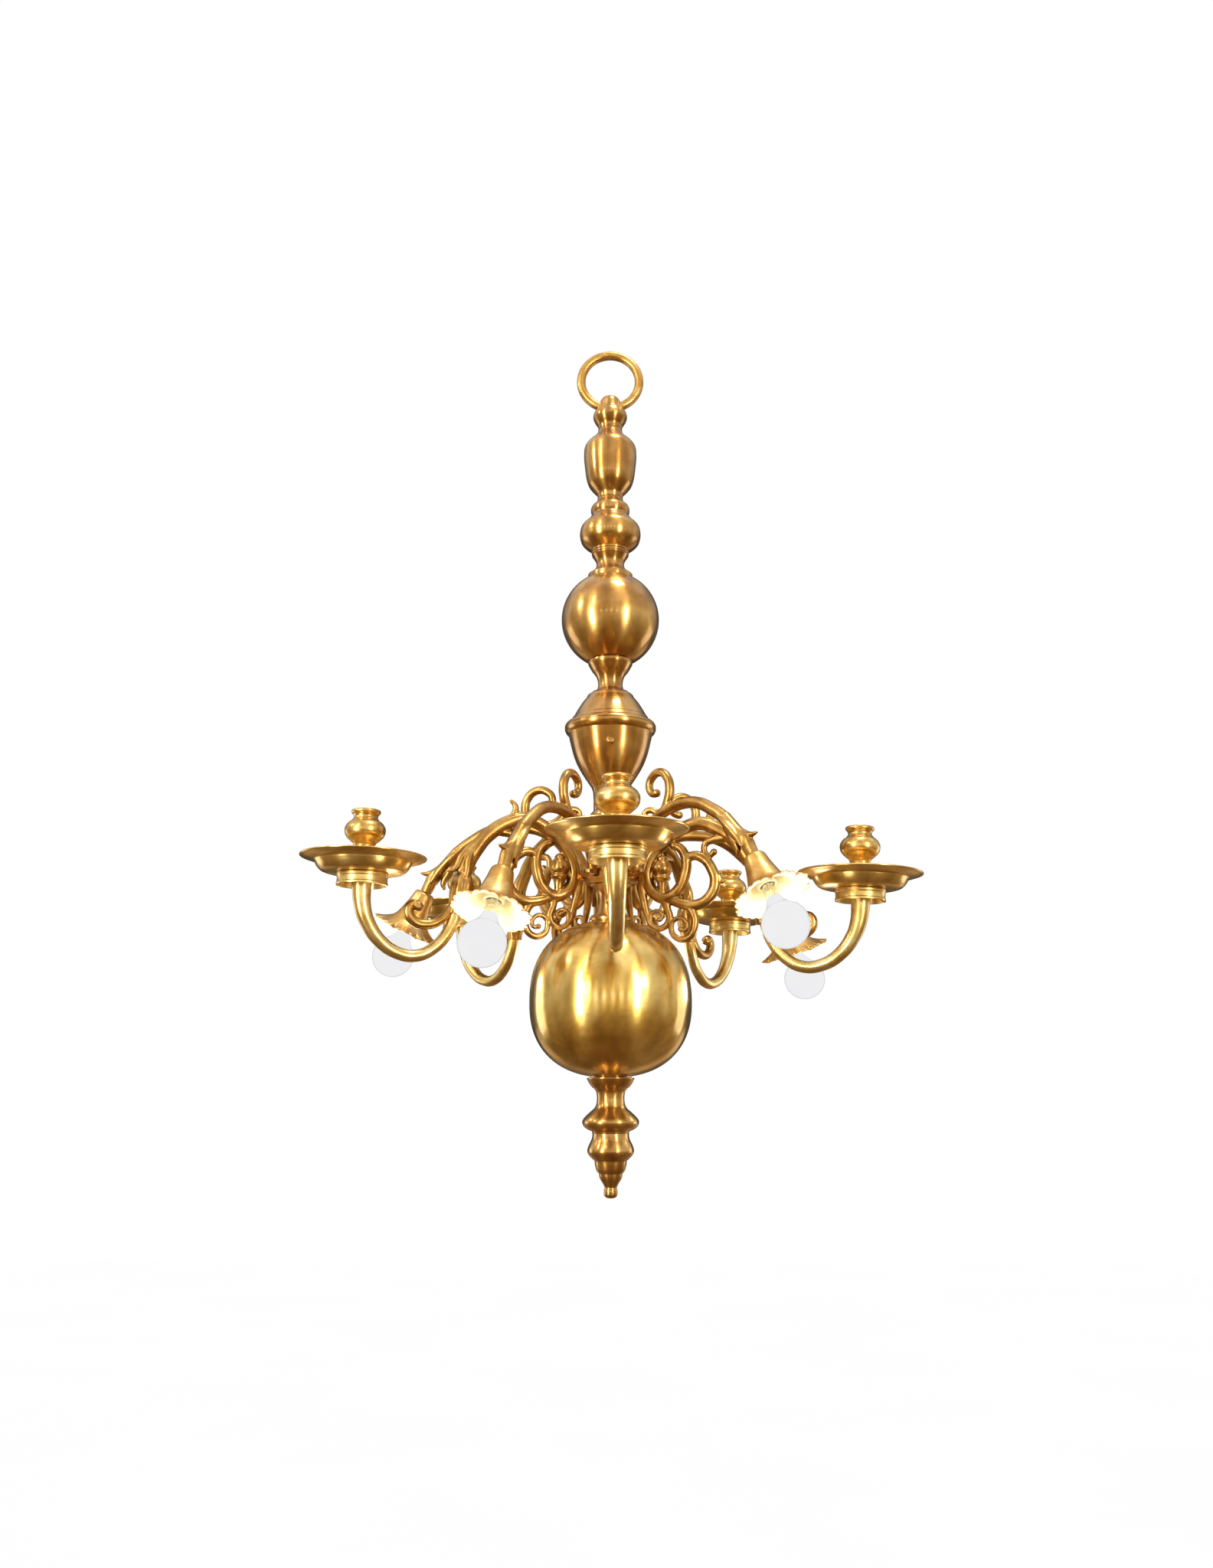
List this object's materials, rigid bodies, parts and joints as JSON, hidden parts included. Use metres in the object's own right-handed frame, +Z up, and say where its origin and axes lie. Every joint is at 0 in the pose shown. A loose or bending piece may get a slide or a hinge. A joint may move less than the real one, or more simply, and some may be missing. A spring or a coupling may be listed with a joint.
{
  "type": "chandelier",
  "caption": "Turned brass chandelier: a baluster stem with balls carries scrolled candle arms with drip pans and cups, and hanging lamp arms with bells and round bulbs.",
  "frame": {"origin": "the crown of the suspension ring's inside, where the ceiling hook bears", "axes": "+Z up along the stem, -Y towards the viewer of the picture, +X to the right"},
  "size_m": [0.6298, 0.6083, 0.9571],
  "materials": {
    "polished_brass": "polished and lacquered",
    "cast_brass": "cast, satin",
    "bell_brass": "spun, satin",
    "steel": "plain",
    "porcelain": "glazed",
    "cap_metal": "rolled",
    "frosted_glass": "frosted"
  },
  "bodies": {
    "ring": {"suspension_ring": "polished_brass"},
    "chandelier": {"top_knob": "polished_brass", "upper_vase": "polished_brass", "mid_knop": "polished_brass", "upper_ball": "polished_brass", "vase_cover": "polished_brass", "vase_body": "polished_brass", "vase_screw": "polished_brass", "hub_spool": "polished_brass", "arm_slot_plate": "polished_brass", "hub_neck": "polished_brass", "big_ball": "polished_brass", "pendant": "polished_brass", "finial": "polished_brass", "tie_rod": "steel", "candle_arm_1": "cast_brass", "candle_collar_1": "polished_brass", "drip_pan_1": "polished_brass", "candle_cup_1": "polished_brass", "lamp_arm_1": "cast_brass", "lamp_bell_1": "bell_brass", "lampholder_1": "porcelain", "candle_arm_2": "cast_brass", "candle_collar_2": "polished_brass", "drip_pan_2": "polished_brass", "candle_cup_2": "polished_brass", "lamp_arm_2": "cast_brass", "lamp_bell_2": "bell_brass", "lampholder_2": "porcelain", "candle_arm_3": "cast_brass", "candle_collar_3": "polished_brass", "drip_pan_3": "polished_brass", "candle_cup_3": "polished_brass", "lamp_arm_3": "cast_brass", "lamp_bell_3": "bell_brass", "lampholder_3": "porcelain", "candle_arm_4": "cast_brass", "candle_collar_4": "polished_brass", "drip_pan_4": "polished_brass", "candle_cup_4": "polished_brass", "lamp_arm_4": "cast_brass", "lamp_bell_4": "bell_brass", "lampholder_4": "porcelain", "candle_arm_5": "cast_brass", "candle_collar_5": "polished_brass", "drip_pan_5": "polished_brass", "candle_cup_5": "polished_brass", "lamp_arm_5": "cast_brass", "lamp_bell_5": "bell_brass", "lampholder_5": "porcelain"},
    "bulb_cap_1": {"bulb_cap_1": "cap_metal"},
    "bulb_glass_1": {"bulb_glass_1": "frosted_glass"},
    "bulb_cap_2": {"bulb_cap_2": "cap_metal"},
    "bulb_glass_2": {"bulb_glass_2": "frosted_glass"},
    "bulb_cap_3": {"bulb_cap_3": "cap_metal"},
    "bulb_glass_3": {"bulb_glass_3": "frosted_glass"},
    "bulb_cap_4": {"bulb_cap_4": "cap_metal"},
    "bulb_glass_4": {"bulb_glass_4": "frosted_glass"},
    "bulb_cap_5": {"bulb_cap_5": "cap_metal"},
    "bulb_glass_5": {"bulb_glass_5": "frosted_glass"}
  },
  "joints": [
    {"name": "hang_swing", "type": "hinge", "parent": "ring", "child": "chandelier", "pos_m": [0, 0, -0.0628], "axis": [1, 0, 0], "range_deg": [-10, 10]},
    {"name": "bulb_1_travel", "type": "slide", "parent": "chandelier", "child": "bulb_cap_1", "axis": [0.3119, -0.3771, -0.8721], "range_m": [0, 0.01127]},
    {"name": "bulb_1_turn", "type": "hinge", "parent": "bulb_cap_1", "child": "bulb_glass_1", "pos_m": [0.13546, -0.16375, -0.62134], "axis": [0.3119, -0.3771, -0.8721], "range_deg": [0, 1440]},
    {"name": "bulb_2_travel", "type": "slide", "parent": "chandelier", "child": "bulb_cap_2", "axis": [0.3375, 0.1343, -0.9317], "range_m": [0, 0.01127]},
    {"name": "bulb_2_turn", "type": "hinge", "parent": "bulb_cap_2", "child": "bulb_glass_2", "pos_m": [0.19157, 0.07624, -0.64503], "axis": [0.3375, 0.1343, -0.9317], "range_deg": [0, 1440]},
    {"name": "bulb_3_travel", "type": "slide", "parent": "chandelier", "child": "bulb_cap_3", "axis": [-0.0286, 0.4311, -0.9018], "range_m": [0, 0.01127]},
    {"name": "bulb_3_turn", "type": "hinge", "parent": "bulb_cap_3", "child": "bulb_glass_3", "pos_m": [-0.01392, 0.20954, -0.63241], "axis": [-0.0286, 0.4311, -0.9018], "range_deg": [0, 1440]},
    {"name": "bulb_4_travel", "type": "slide", "parent": "chandelier", "child": "bulb_cap_4", "axis": [-0.451, 0.1125, -0.8854], "range_m": [0, 0.01127]},
    {"name": "bulb_4_turn", "type": "hinge", "parent": "bulb_cap_4", "child": "bulb_glass_4", "pos_m": [-0.20523, 0.05117, -0.62615], "axis": [-0.451, 0.1125, -0.8854], "range_deg": [0, 1440]},
    {"name": "bulb_5_travel", "type": "slide", "parent": "chandelier", "child": "bulb_cap_5", "axis": [-0.1973, -0.3575, -0.9128], "range_m": [0, 0.01127]},
    {"name": "bulb_5_turn", "type": "hinge", "parent": "bulb_cap_5", "child": "bulb_glass_5", "pos_m": [-0.1009, -0.18278, -0.63684], "axis": [-0.1973, -0.3575, -0.9128], "range_deg": [0, 1440]}
  ],
  "couplings": [
    {"joint": "bulb_1_turn", "follows": "bulb_1_travel", "rad_per_m": 2228.1},
    {"joint": "bulb_2_turn", "follows": "bulb_2_travel", "rad_per_m": 2228.1},
    {"joint": "bulb_3_turn", "follows": "bulb_3_travel", "rad_per_m": 2228.1},
    {"joint": "bulb_4_turn", "follows": "bulb_4_travel", "rad_per_m": 2228.1},
    {"joint": "bulb_5_turn", "follows": "bulb_5_travel", "rad_per_m": 2228.1}
  ]
}
